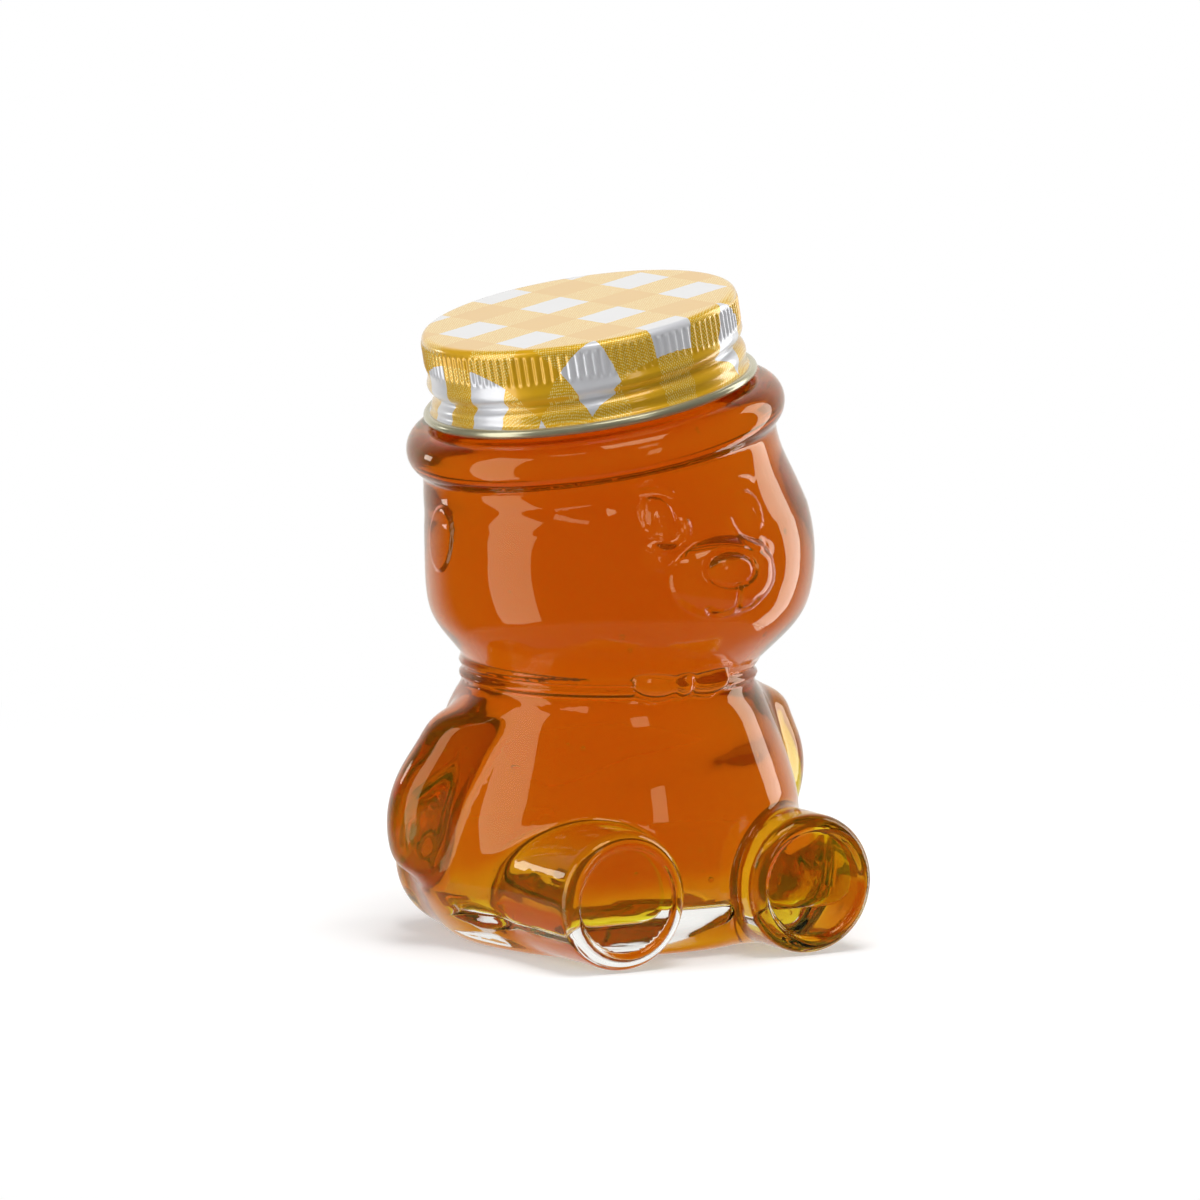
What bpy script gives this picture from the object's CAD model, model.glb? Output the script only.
"""A honey bear bottle: clear moulded glass, honey, a printed screw lid and its sealing ring."""
import logging
from dataclasses import dataclass, field
from enum import Enum
from math import cos, pi, radians, sin, tan
from typing import Callable, Iterable, Sequence

import bmesh
import bpy
import numpy as np
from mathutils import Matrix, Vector


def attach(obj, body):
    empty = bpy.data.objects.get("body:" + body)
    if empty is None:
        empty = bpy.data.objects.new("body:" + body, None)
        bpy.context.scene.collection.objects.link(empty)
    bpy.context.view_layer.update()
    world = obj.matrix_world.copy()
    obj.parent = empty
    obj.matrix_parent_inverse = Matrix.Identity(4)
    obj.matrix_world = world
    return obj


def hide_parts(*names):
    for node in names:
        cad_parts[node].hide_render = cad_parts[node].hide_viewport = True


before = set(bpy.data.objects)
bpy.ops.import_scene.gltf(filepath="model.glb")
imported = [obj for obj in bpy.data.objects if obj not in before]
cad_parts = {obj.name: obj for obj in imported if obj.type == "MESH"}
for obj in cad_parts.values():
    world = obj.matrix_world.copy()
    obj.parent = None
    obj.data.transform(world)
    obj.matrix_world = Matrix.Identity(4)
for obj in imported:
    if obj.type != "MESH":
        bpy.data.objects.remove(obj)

log = logging.getLogger("honey_bear")
logging.basicConfig(level=logging.INFO, format="%(name)s: %(message)s")

MM = 0.001
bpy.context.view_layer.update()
Field = Callable[[np.ndarray, np.ndarray, np.ndarray], np.ndarray]


class Body(Enum):
    """The bodies that pieces ride on."""

    JAR = "jar"
    SEAL = "seal"
    LID = "lid"


class Slot(Enum):
    """The record's material slots."""

    GLASS = "clear_glass"
    HONEY = "honey_amber"
    TINPLATE = "printed_tinplate"
    SEAL = "sealing_compound"


# Shape tools


def smooth_min(a: np.ndarray, b: np.ndarray, width: float) -> np.ndarray:
    """Joins two distance fields with a soft valley.

    Args:
        a: The first field.
        b: The second field.
        width: How wide the soft part is, in millimetres.

    Returns:
        The joined field.
    """
    share = np.maximum(width - np.abs(a - b), 0) / width
    return np.minimum(a, b) - share * share * width / 4


def smooth_max(a: np.ndarray, b: np.ndarray, width: float) -> np.ndarray:
    """The common part of two distance fields, with a soft edge."""
    return -smooth_min(-a, -b, width)


def step(value: np.ndarray) -> np.ndarray:
    """A soft step from 0 to 1 as value goes from 0 to 1."""
    share = np.clip(value, 0, 1)
    return share * share * (3 - 2 * share)


def ellipsoid(x: np.ndarray, y: np.ndarray, z: np.ndarray, a: float, b: float, c: float) -> np.ndarray:
    """Roughly the distance from an ellipsoid at the origin.

    Args:
        x: Distances along the first radius.
        y: Distances along the second radius.
        z: Distances along the third radius.
        a: The first radius.
        b: The second radius.
        c: The third radius.

    Returns:
        The field, negative inside.
    """
    near = np.sqrt((x / a) ** 2 + (y / b) ** 2 + (z / c) ** 2)
    slope = np.sqrt((x / a**2) ** 2 + (y / b**2) ** 2 + (z / c**2) ** 2)
    return near * (near - 1) / np.maximum(slope, 1e-6)


def only_where(near: np.ndarray, make: Callable[..., np.ndarray], *parts: np.ndarray) -> np.ndarray:
    """A field worked out near its form alone, to save time.

    Args:
        near: True for the points that matter.
        make: Works out the field from those points.
        parts: The arrays that make reads.

    Returns:
        The field, with a large distance elsewhere.
    """
    result = np.full(near.shape, 40.0)
    if near.any():
        result[near] = make(*[part[near] for part in parts])
    return result


def rounded_bar(across: np.ndarray, along: np.ndarray, radius: float, end: float, edge: float) -> np.ndarray:
    """A round bar that ends in a rounded rim.

    Args:
        across: Distance from the bar's axis.
        along: Distance along the axis.
        radius: The bar's radius.
        end: Where the bar ends.
        edge: Radius of the rim.

    Returns:
        The field, negative inside.
    """
    out, past = across - (radius - edge), along - (end - edge)
    corner = np.hypot(np.maximum(out, 0), np.maximum(past, 0))
    return corner + np.minimum(np.maximum(out, past), 0) - edge


@dataclass(frozen=True)
class Curve:
    """A smooth line through rows of numbers, read from a fine table."""

    at: tuple[float, ...]
    values: tuple[float, ...]
    fineness: float = 0.1

    def __post_init__(self) -> None:
        """Works out the natural cubic line through the rows."""
        x, y = np.array(self.at, float), np.array(self.values, float)
        n, h = len(x), np.diff(x)
        rows, right = np.eye(n), np.zeros(n)
        for i in range(1, n - 1):
            rows[i, i - 1:i + 2] = h[i - 1], 2 * (h[i - 1] + h[i]), h[i]
            right[i] = 6 * ((y[i + 1] - y[i]) / h[i] - (y[i] - y[i - 1]) / h[i - 1])
        bend = np.linalg.solve(rows, right)
        t = np.linspace(x[0], x[-1], int((x[-1] - x[0]) / self.fineness) + 2)
        i = np.clip(np.searchsorted(x, t) - 1, 0, n - 2)
        a, b = (x[i + 1] - t) / h[i], (t - x[i]) / h[i]
        line = a * y[i] + b * y[i + 1] + ((a**3 - a) * bend[i] + (b**3 - b) * bend[i + 1]) * h[i] ** 2 / 6
        object.__setattr__(self, "table", (t, line, np.gradient(line, t)))

    def __call__(self, x: np.ndarray) -> np.ndarray:
        """The line's value at x."""
        return np.interp(x, self.table[0], self.table[1])

    def slope(self, x: np.ndarray) -> np.ndarray:
        """The line's slope at x."""
        return np.interp(x, self.table[0], self.table[2])


@dataclass
class Shell:
    """A closed mesh read from a field: points in millimetres, quads and outward normals."""

    points: np.ndarray
    faces: list[tuple[int, ...]]
    normals: np.ndarray

    def middles(self) -> np.ndarray:
        """The middle of each face."""
        return np.array([self.points[list(face)].mean(axis=0) for face in self.faces])

    def mesh(self, name: str) -> bpy.types.Mesh:
        """A mesh that shades by the field's own normals.

        Args:
            name: The mesh's name.

        Returns:
            The mesh.
        """
        mesh = plain_mesh(name, self.points, self.faces)
        mesh.normals_split_custom_set_from_vertices(self.normals.tolist())
        return mesh


class Sculptor:
    """Turns a distance field into an even mesh of quads that lies on its surface.

    Attributes:
        reach: How far apart the field is read for its slope, in millimetres.
        longest: The longest move of a point in one round, as a share of a cell.
    """

    reach = 0.04
    longest = 0.4

    def __init__(
        self, form: Field, low: Sequence[float], high: Sequence[float], cell: float,
        bend: Callable[[np.ndarray], np.ndarray] | None = None,
        where: Callable[[np.ndarray], np.ndarray] | None = None,
    ) -> None:
        """Lays out the grid.

        Args:
            form: The field, in millimetres.
            low: Lowest corner of the space to look in.
            high: Highest corner of that space.
            cell: Size of a grid cell.
            bend: Gives face middles the degrees of turn above which a face is split.
            where: Says which face middles may be split.
        """
        self.form = form
        self.cell = cell
        self.bend = bend
        self.where = where
        self.lines = [np.arange(a, b + cell, cell) for a, b in zip(low, high)]

    def gradient(self, points: np.ndarray) -> np.ndarray:
        """The field's slope at points.

        Args:
            points: One row for each point.

        Returns:
            One row for each point's slope.
        """
        slope = np.empty_like(points)
        for axis in range(3):
            offset = np.zeros(3)
            offset[axis] = self.reach
            ahead, behind = points + offset, points - offset
            slope[:, axis] = (self.form(*ahead.T) - self.form(*behind.T)) / (2 * self.reach)
        return slope

    def settle(self, points: np.ndarray, rounds: int) -> np.ndarray:
        """Moves points onto the surface.

        Args:
            points: Points near the surface.
            rounds: How many moves each point makes.

        Returns:
            The moved points.
        """
        for _ in range(rounds):
            slope = self.gradient(points)
            length = np.maximum((slope**2).sum(axis=1), 0.05)
            move = (self.form(*points.T) / length)[:, None] * slope
            size = np.linalg.norm(move, axis=1, keepdims=True)
            points = points - move * np.minimum(1, self.longest * self.cell / np.maximum(size, 1e-9))
        return points

    def shell(self) -> Shell:
        """Builds the mesh.

        Returns:
            The closed shell.
        """
        xs, ys, zs = self.lines
        grid = np.meshgrid(xs, ys, zs, indexing="ij")
        value = self.form(*[part.ravel() for part in grid]).reshape(grid[0].shape)
        value[value == 0] = 1e-6
        inside = value < 0
        count = [n - 1 for n in inside.shape]
        corners = [(a, b, c) for a in (0, 1) for b in (0, 1) for c in (0, 1)]
        filled = sum(
            inside[a:a + count[0], b:b + count[1], c:c + count[2]].astype(np.int8) for a, b, c in corners
        )
        cells = np.argwhere((filled > 0) & (filled < 8))
        number = np.full(count, -1)
        number[tuple(cells.T)] = np.arange(len(cells))
        total, crossings = np.zeros((len(cells), 3)), np.zeros(len(cells))
        spots = {c: value[tuple((cells + c).T)] for c in corners}
        places = {
            c: np.stack([line[cells[:, i] + c[i]] for i, line in enumerate(self.lines)], 1) for c in corners
        }
        for first in corners:
            for axis in range(3):
                if first[axis] == 0:
                    second = tuple(1 if i == axis else first[i] for i in range(3))
                    a, b = spots[first], spots[second]
                    cut = (a < 0) != (b < 0)
                    share = np.where(cut, a / np.where(cut, a - b, 1), 0)[:, None]
                    total += np.where(cut[:, None], places[first] * (1 - share) + places[second] * share, 0)
                    crossings += cut
        points = total / crossings[:, None]
        quads = []
        for axis in range(3):
            u, v = (axis + 1) % 3, (axis + 2) % 3
            ahead = np.roll(inside, -1, axis)
            edges = np.argwhere(inside != ahead)
            keep = edges[:, axis] < inside.shape[axis] - 1
            for side in (u, v):
                keep &= (edges[:, side] > 0) & (edges[:, side] < inside.shape[side] - 1)
            edges = edges[keep]
            ring = []
            for du, dv in ((1, 1), (0, 1), (0, 0), (1, 0)):
                cell = edges.copy()
                cell[:, u] -= du
                cell[:, v] -= dv
                ring.append(number[tuple(cell.T)])
            ring = np.stack(ring, 1)
            outward = inside[tuple(edges.T)]
            ring[~outward] = ring[~outward][:, ::-1]
            quads.append(ring)
        return self.finish(points, [tuple(q) for q in np.concatenate(quads)])

    def finish(self, points: np.ndarray, faces: list[tuple[int, ...]]) -> Shell:
        """Settles the points and splits the faces where the surface bends sharply.

        Args:
            points: The mesh's points.
            faces: Its faces.

        Returns:
            The closed shell.
        """
        points = self.settle(points, 3)
        if self.bend:
            slope = self.gradient(points)
            slope /= np.maximum(np.linalg.norm(slope, axis=1, keepdims=True), 1e-9)
            ring = np.array(faces)
            turn = np.minimum(*[(slope[ring[:, i]] * slope[ring[:, i + 2]]).sum(1) for i in (0, 1)])
            middles = points[ring].mean(axis=1)
            sharp = (turn < np.cos(np.radians(self.bend(middles)))) & self.where(middles)
            log.info("%d of %d faces split", sharp.sum(), len(faces))
            work = bmesh.new()
            verts = [work.verts.new(p) for p in points]
            made = [work.faces.new([verts[i] for i in face]) for face in faces]
            edges = {edge for face, chosen in zip(made, sharp) if chosen for edge in face.edges}
            bmesh.ops.subdivide_edges(work, edges=list(edges), cuts=1, use_grid_fill=True)
            work.verts.index_update()
            points = self.settle(np.array([v.co[:] for v in work.verts]), 3)
            faces = [tuple(v.index for v in face.verts) for face in work.faces]
            work.free()
        slope = self.gradient(points)
        return Shell(points, faces, slope / np.maximum(np.linalg.norm(slope, axis=1, keepdims=True), 1e-9))


def plain_mesh(name: str, points: np.ndarray, faces: Iterable[Sequence[int]]) -> bpy.types.Mesh:
    """A smooth mesh from points in millimetres.

    Args:
        name: The mesh's name.
        points: One row for each point.
        faces: The faces' point numbers.

    Returns:
        The mesh.
    """
    mesh = bpy.data.meshes.new(name)
    mesh.from_pydata((np.asarray(points) * MM).tolist(), [], [list(map(int, f)) for f in faces])
    mesh.shade_smooth()
    return mesh


def place_piece(name: str, mesh: bpy.types.Mesh, body: Body) -> bpy.types.Object:
    """Puts a finished mesh in the scene as a piece of the object.

    Args:
        name: The piece's name.
        mesh: Its mesh, where it belongs in the frame.
        body: What it rides on.

    Returns:
        The new object.
    """
    piece = bpy.data.objects.new(name, mesh)
    bpy.context.scene.collection.objects.link(piece)
    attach(piece, body.value)
    log.info("%s: %d faces on %s", name, len(mesh.polygons), body.value)
    return piece


# Node trees


class Graph:
    """A node tree, with short calls that add nodes and join them."""

    def __init__(self, tree: bpy.types.NodeTree) -> None:
        """Takes a tree to work on."""
        self.tree = tree

    def feed(self, value: object, socket: bpy.types.NodeSocket) -> None:
        """Links a socket to an input, or sets the input's own value.

        Args:
            value: A socket or a plain value.
            socket: The input.
        """
        if isinstance(value, bpy.types.NodeSocket):
            self.tree.links.new(value, socket)
        else:
            socket.default_value = value

    def node(self, kind: str, **settings: object) -> bpy.types.Node:
        """Adds a node.

        Args:
            kind: The node's type.
            settings: Values for its properties, or values or sockets for its inputs by name, with
                _ for a space.

        Returns:
            The node.
        """
        node = self.tree.nodes.new(kind)
        for key, value in settings.items():
            if hasattr(node, key):
                setattr(node, key, value)
            else:
                self.feed(value, node.inputs[key.replace("_", " ")])
        return node

    def math(self, operation: str, *terms: object) -> bpy.types.NodeSocket:
        """A sum on numbers or sockets.

        Args:
            operation: The sum's name.
            terms: Its numbers or sockets.

        Returns:
            The result's socket.
        """
        node = self.node("ShaderNodeMath", operation=operation)
        for socket, value in zip(node.inputs, terms):
            self.feed(value, socket)
        return node.outputs[0]

    def times(self, first: object, *others: object) -> bpy.types.NodeSocket:
        """The product of numbers or sockets.

        Args:
            first: The first of them.
            others: The rest, in order.

        Returns:
            The product's socket.
        """
        for other in others:
            first = self.math("MULTIPLY", first, other)
        return first

    def blend(self, share: object, first: object, second: object) -> bpy.types.NodeSocket:
        """Mixes two colours.

        Args:
            share: How much of the second colour shows.
            first: A colour or socket.
            second: A colour or socket.

        Returns:
            The mixed colour's socket.
        """
        node = self.node("ShaderNodeMix", data_type="RGBA")
        for number, value in ((0, share), (6, first), (7, second)):
            self.feed(value, node.inputs[number])
        return node.outputs[2]


class Shading(Graph):
    """A material's node tree, with what this bottle's finishes share."""

    def __init__(self, name: str) -> None:
        """Starts an empty material with a surface shader and an output.

        Args:
            name: The material's name.
        """
        self.material = bpy.data.materials.new(name)
        self.material.use_nodes = True
        super().__init__(self.material.node_tree)
        self.tree.nodes.clear()
        self.output = self.node("ShaderNodeOutputMaterial")
        self.surface = self.node("ShaderNodeBsdfPrincipled")
        self.feed(self.surface.outputs["BSDF"], self.output.inputs["Surface"])

    def set(self, **values: object) -> None:
        """Sets or links inputs of the surface shader, by name, with _ for a space."""
        for key, value in values.items():
            self.feed(value, self.surface.inputs[key.replace("_", " ")])

    def replace_surface(self, shader: bpy.types.Node) -> None:
        """Puts another shader in the place of the surface shader."""
        self.tree.nodes.remove(self.surface)
        self.feed(shader.outputs[0], self.output.inputs["Surface"])

    def noise(
        self, scale: float, detail: float = 2.0, vector: bpy.types.NodeSocket | None = None
    ) -> bpy.types.NodeSocket:
        """Noise on Object coordinates.

        Args:
            scale: Waves to the metre.
            detail: How many finer layers it has.
            vector: Other coordinates to read.

        Returns:
            The noise's socket.
        """
        if vector is None:
            vector = self.node("ShaderNodeTexCoord").outputs["Object"]
        return self.node("ShaderNodeTexNoise", Vector=vector, Scale=scale, Detail=detail).outputs["Fac"]

    def bump(self, height: bpy.types.NodeSocket, strength: float, distance: float) -> None:
        """Feeds a height to the surface's normal."""
        node = self.node("ShaderNodeBump", Height=height, Strength=strength, Distance=distance)
        self.set(Normal=node.outputs["Normal"])


class Growth(Graph):
    """A Geometry Nodes tree with named inputs, and the means to bake it."""

    def __init__(self, name: str, inputs: dict[str, tuple[str, object]]) -> None:
        """Starts the tree.

        Args:
            name: The tree's name.
            inputs: Socket type and value for each named input.
        """
        super().__init__(bpy.data.node_groups.new(name, "GeometryNodeTree"))
        self.tree.interface.new_socket("Geometry", in_out="INPUT", socket_type="NodeSocketGeometry")
        self.values = {}
        for title, (kind, value) in inputs.items():
            socket = self.tree.interface.new_socket(title, in_out="INPUT", socket_type=kind)
            self.values[socket.identifier] = value
        self.tree.interface.new_socket("Geometry", in_out="OUTPUT", socket_type="NodeSocketGeometry")
        self.start = self.tree.nodes.new("NodeGroupInput").outputs
        self.end = self.tree.nodes.new("NodeGroupOutput").inputs[0]

    def finish(self, geometry: bpy.types.NodeSocket, *materials: bpy.types.Material) -> None:
        """Ends the tree with real geometry and its materials, by zone where there are several.

        Args:
            geometry: The finished geometry.
            materials: One for each zone, in order.
        """
        real = self.node("GeometryNodeRealizeInstances", Geometry=geometry).outputs[0]
        for number, material in enumerate(materials):
            painted = self.node("GeometryNodeSetMaterial", Geometry=real, Material=material)
            if number:
                same = self.node("FunctionNodeCompare", data_type="INT", operation="EQUAL")
                zone = self.node("GeometryNodeInputNamedAttribute", data_type="INT", Name="zone").outputs[0]
                for value, socket in ((zone, same.inputs[2]), (number, same.inputs[3])):
                    self.feed(value, socket)
                self.feed(same.outputs[0], painted.inputs["Selection"])
            real = painted.outputs[0]
        self.feed(real, self.end)

    def bake(self, name: str, mesh: bpy.types.Mesh) -> bpy.types.Mesh:
        """Runs the tree on a mesh.

        Args:
            name: Name of the result.
            mesh: The mesh that the tree starts from.

        Returns:
            The plain mesh that it grows.
        """
        carrier = bpy.data.objects.new(name + "_carrier", mesh)
        bpy.context.scene.collection.objects.link(carrier)
        modifier = carrier.modifiers.new(name, "NODES")
        modifier.node_group = self.tree
        for identifier, value in self.values.items():
            modifier[identifier] = value
        graph = bpy.context.evaluated_depsgraph_get()
        result = bpy.data.meshes.new_from_object(carrier.evaluated_get(graph), depsgraph=graph)
        result.name = name
        carrier.modifiers.remove(modifier)
        bpy.data.objects.remove(carrier)
        return result


# Finishes


def linear(red: int, green: int, blue: int) -> tuple[float, float, float, float]:
    """A screen colour as the shaders read it."""
    parts = [c / 255 for c in (red, green, blue)]
    return (*[c / 12.92 if c <= 0.04045 else ((c + 0.055) / 1.055) ** 2.4 for c in parts], 1.0)


class Finish:
    """What all finishes share: each makes a material and dresses its shader."""

    def build(self, name: str) -> bpy.types.Material:
        """Makes the material.

        Args:
            name: The material's name.

        Returns:
            The material.
        """
        shade = Shading(name)
        self.dress(shade)
        return shade.material

    def dress(self, shade: Shading) -> None:
        """Sets up the shader, in each finish's own way."""
        raise NotImplementedError


@dataclass(frozen=True)
class ClearGlass(Finish):
    """Moulded soda glass with the faint waves of a pressed wall.

    A ray that has turned so often that it would end black glows like deep honey instead.
    """

    index: float = 1.5
    roughness: float = 0.012
    tint: tuple[int, int, int] = (252, 254, 252)
    gloss: tuple[float, float, float, float] = (1.0, 0.95, 0.5, 1.0)
    deep: tuple[float, float, float, float] = (0.9, 0.6, 0.25, 1.0)
    glow: float = 0.7
    last_turns: tuple[float, float] = (11.5, 7.5)
    wave: float = 0.12
    wave_scale: float = 95.0
    wave_height: float = 0.0012

    def dress(self, shade: Shading) -> None:
        """Sets up the shader.

        Args:
            shade: The material's tree.
        """
        shade.set(
            Base_Color=linear(*self.tint), Roughness=self.roughness, IOR=self.index, Transmission_Weight=1.0,
            Specular_Tint=self.gloss, Emission_Color=self.deep,
        )
        rays = shade.node("ShaderNodeLightPath").outputs
        tired = shade.math("GREATER_THAN", rays["Ray Depth"], self.last_turns[0])
        through = shade.math("GREATER_THAN", rays["Transparent Depth"], self.last_turns[1])
        shade.set(Emission_Strength=shade.times(shade.math("MAXIMUM", tired, through), self.glow))
        if self.wave:
            shade.bump(shade.noise(self.wave_scale, 1.5), self.wave, self.wave_height)


@dataclass(frozen=True)
class Honey(Finish):
    """Clear runny honey: it colours light by how far the light goes through it."""

    index: float = 1.0
    haze: tuple[float, float, float, float] = (0.92, 0.70, 0.035, 1.0)
    pale: tuple[float, float, float, float] = (0.95, 0.92, 0.05, 1.0)
    pale_below: tuple[float, float] = (10.0, 46.0)
    clear: float = 0.9
    keeps: tuple[float, float, float, float] = (0.93, 0.638, 0.32, 1.0)
    density: float = 100.0

    def dress(self, shade: Shading) -> None:
        """Sets up the shader.

        Args:
            shade: The material's tree.
        """
        low, high = self.pale_below
        place = shade.node("ShaderNodeTexCoord").outputs["Object"]
        climb = shade.node(
            "ShaderNodeMapRange", interpolation_type="SMOOTHSTEP", From_Min=low * MM, From_Max=high * MM,
            Value=shade.node("ShaderNodeSeparateXYZ", Vector=place).outputs["Z"],
        )
        shade.set(
            Base_Color=shade.blend(climb.outputs[0], self.pale, self.haze), Roughness=0.0, IOR=self.index,
            Transmission_Weight=self.clear,
        )
        depth = shade.node("ShaderNodeVolumeAbsorption", Color=self.keeps, Density=self.density)
        shade.feed(depth.outputs["Volume"], shade.output.inputs["Volume"])


@dataclass(frozen=True)
class HoneySkin(Finish):
    """The open surface of the honey."""

    index: float = 1.49

    def dress(self, shade: Shading) -> None:
        """Sets up the shader.

        Args:
            shade: The material's tree.
        """
        shade.set(Base_Color=(1.0, 1.0, 1.0, 1.0), Roughness=0.01, IOR=self.index, Transmission_Weight=1.0)
        shade.bump(shade.noise(60.0, 1.0), 0.05, 0.001)


@dataclass(frozen=True)
class WetWall(Finish):
    """Glass that honey wets: light passes on without a bend, because both bend it alike."""

    def dress(self, shade: Shading) -> None:
        """Sets up the shader.

        Args:
            shade: The material's tree.
        """
        shade.replace_surface(shade.node("ShaderNodeBsdfTransparent"))


@dataclass(frozen=True)
class GinghamPrint(Finish):
    """Yellow gingham printed flat on white tinplate before the lid was drawn, under clear varnish."""

    check: float = 10.0
    turn: float = 5.0
    white: tuple[int, int, int] = (228, 229, 233)
    half: tuple[int, int, int] = (250, 228, 132)
    full: tuple[int, int, int] = (232, 176, 0)
    worn: tuple[int, int, int] = (190, 180, 160)
    metal: float = 0.3
    shift: tuple[float, float] = (0.4, 8.7)
    wander: float = 0.3
    thread_turns: float = 9000.0

    def stripe(self, shade: Shading, along: bpy.types.NodeSocket, shift: float) -> bpy.types.NodeSocket:
        """One set of printed stripes.

        Args:
            shade: The material's tree.
            along: Distance across the stripes, in metres.
            shift: Where a white gap has its middle, in millimetres.

        Returns:
            1 on a stripe and 0 on a gap.
        """
        period = 2 * self.check * MM
        moved = shade.math("DIVIDE", shade.math("SUBTRACT", along, shift * MM), period)
        phase = shade.math("FRACT", shade.math("ADD", moved, 0.5))
        return shade.math("GREATER_THAN", shade.math("ABSOLUTE", shade.math("SUBTRACT", phase, 0.5)), 0.25)

    def threads(
        self, shade: Shading, place: bpy.types.NodeSocket, ways: Iterable[bpy.types.NodeSocket]
    ) -> bpy.types.NodeSocket:
        """The printed weave of a single stripe.

        Args:
            shade: The material's tree.
            place: The place on the flat sheet.
            ways: Distances across both sets of threads, in metres.

        Returns:
            1 on a full thread and 0 on a pale one.
        """
        waves = [shade.math("SINE", shade.times(way, self.thread_turns)) for way in ways]
        grain = shade.math("SUBTRACT", shade.noise(2600.0, 2.0, place), 0.5)
        return shade.math("GREATER_THAN", shade.math("ADD", shade.times(*waves, 0.35), grain), -0.12)

    def dress(self, shade: Shading) -> None:
        """Sets up the shader.

        Args:
            shade: The material's tree.
        """
        sheet = shade.node("ShaderNodeUVMap", uv_map="print").outputs["UV"]
        place = shade.node("ShaderNodeMapping", Vector=sheet, Rotation=(0, 0, radians(-self.turn))).outputs[0]
        edge = shade.times(shade.math("SUBTRACT", shade.noise(900.0, 1.0, place), 0.5), self.wander * MM)
        parts = shade.node("ShaderNodeSeparateXYZ", Vector=place).outputs
        ways = [shade.math("ADD", parts[axis], edge) for axis in ("X", "Y")]
        first, second = (self.stripe(shade, way, at) for way, at in zip(ways, self.shift))
        white, half, full, worn = (linear(*c) for c in (self.white, self.half, self.full, self.worn))
        light = shade.blend(self.threads(shade, place, ways), half, full)
        colour = shade.blend(shade.math("MAXIMUM", first, second), white, light)
        colour = shade.blend(shade.times(first, second), colour, full)
        rub = shade.noise(220.0, 3.0)
        shade.set(
            Base_Color=shade.blend(shade.times(rub, 0.06), colour, worn), Metallic=self.metal, Roughness=0.34,
            Sheen_Weight=0.25, Sheen_Roughness=0.3, Coat_Weight=1.0, Coat_Roughness=0.12, Coat_IOR=1.5,
            IOR=1.5, Specular_IOR_Level=0.25,
        )
        shade.bump(shade.math("ADD", shade.noise(600.0, 2.0), shade.times(rub, 2.0)), 0.1, 0.0002)


@dataclass(frozen=True)
class Enamel(Finish):
    """Plain lacquer on the rolled bead and inside the lid."""

    colour: tuple[int, int, int] = (196, 190, 156)
    worn: tuple[int, int, int] = (150, 148, 120)
    roughness: float = 0.24
    metal: float = 0.0

    def dress(self, shade: Shading) -> None:
        """Sets up the shader.

        Args:
            shade: The material's tree.
        """
        rub = shade.times(shade.noise(260.0, 4.0), 0.35)
        shade.set(
            Base_Color=shade.blend(rub, linear(*self.colour), linear(*self.worn)), Metallic=self.metal,
            Roughness=self.roughness, Coat_Weight=0.6, Coat_Roughness=0.1, IOR=1.5,
        )
        shade.bump(shade.noise(900.0, 2.0), 0.12, 0.0001)


@dataclass(frozen=True)
class Plastisol(Finish):
    """The soft sealing compound in the lid."""

    colour: tuple[int, int, int] = (214, 206, 186)
    shaded: tuple[int, int, int] = (196, 186, 160)

    def dress(self, shade: Shading) -> None:
        """Sets up the shader.

        Args:
            shade: The material's tree.
        """
        colour = shade.blend(shade.noise(300.0, 3.0), linear(*self.colour), linear(*self.shaded))
        shade.set(Base_Color=colour, Roughness=0.55, IOR=1.5, Subsurface_Weight=0.1)
        shade.bump(shade.noise(1500.0, 2.0), 0.2, 0.0001)


# The glass and what it holds


@dataclass
class HatAxis:
    """The leaning axis of the neck, the brim and the lid.

    Attributes:
        tilt: How far it leans towards -X, in degrees.
        pivot_z: Height of its foot.
        body_y: The Y that it stands on.
        lid_top: Distance from its foot up to the lid's top.
    """

    tilt: float = 10.0
    pivot_z: float = 86.6
    body_y: float = 5.0
    lid_top: float = 40.3

    def along(self, x: np.ndarray, z: np.ndarray) -> np.ndarray:
        """Distance up the axis from its foot."""
        return -x * sin(radians(self.tilt)) + (z - self.pivot_z) * cos(radians(self.tilt))

    def across(self, x: np.ndarray, z: np.ndarray) -> np.ndarray:
        """Distance along the direction that the axis's own X takes."""
        return x * cos(radians(self.tilt)) + (z - self.pivot_z) * sin(radians(self.tilt))

    def point(self, right: np.ndarray, back: np.ndarray, up: np.ndarray) -> np.ndarray:
        """Points of the frame from distances along the axis's own three directions.

        Args:
            right: Distances along its X.
            back: Distances along its Y.
            up: Distances along the axis from its foot.

        Returns:
            One row for each point, in millimetres.
        """
        lean = radians(self.tilt)
        x = right * cos(lean) - up * sin(lean)
        z = self.pivot_z + right * sin(lean) + up * cos(lean)
        return np.stack([x, self.body_y + back, z], axis=-1)


@dataclass(frozen=True)
class Valleys:
    """Widths of the soft valleys where the bear's forms meet, in millimetres."""

    foot: float
    collar: float
    brim: float
    arm: float
    leg: float
    sole: float


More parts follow.
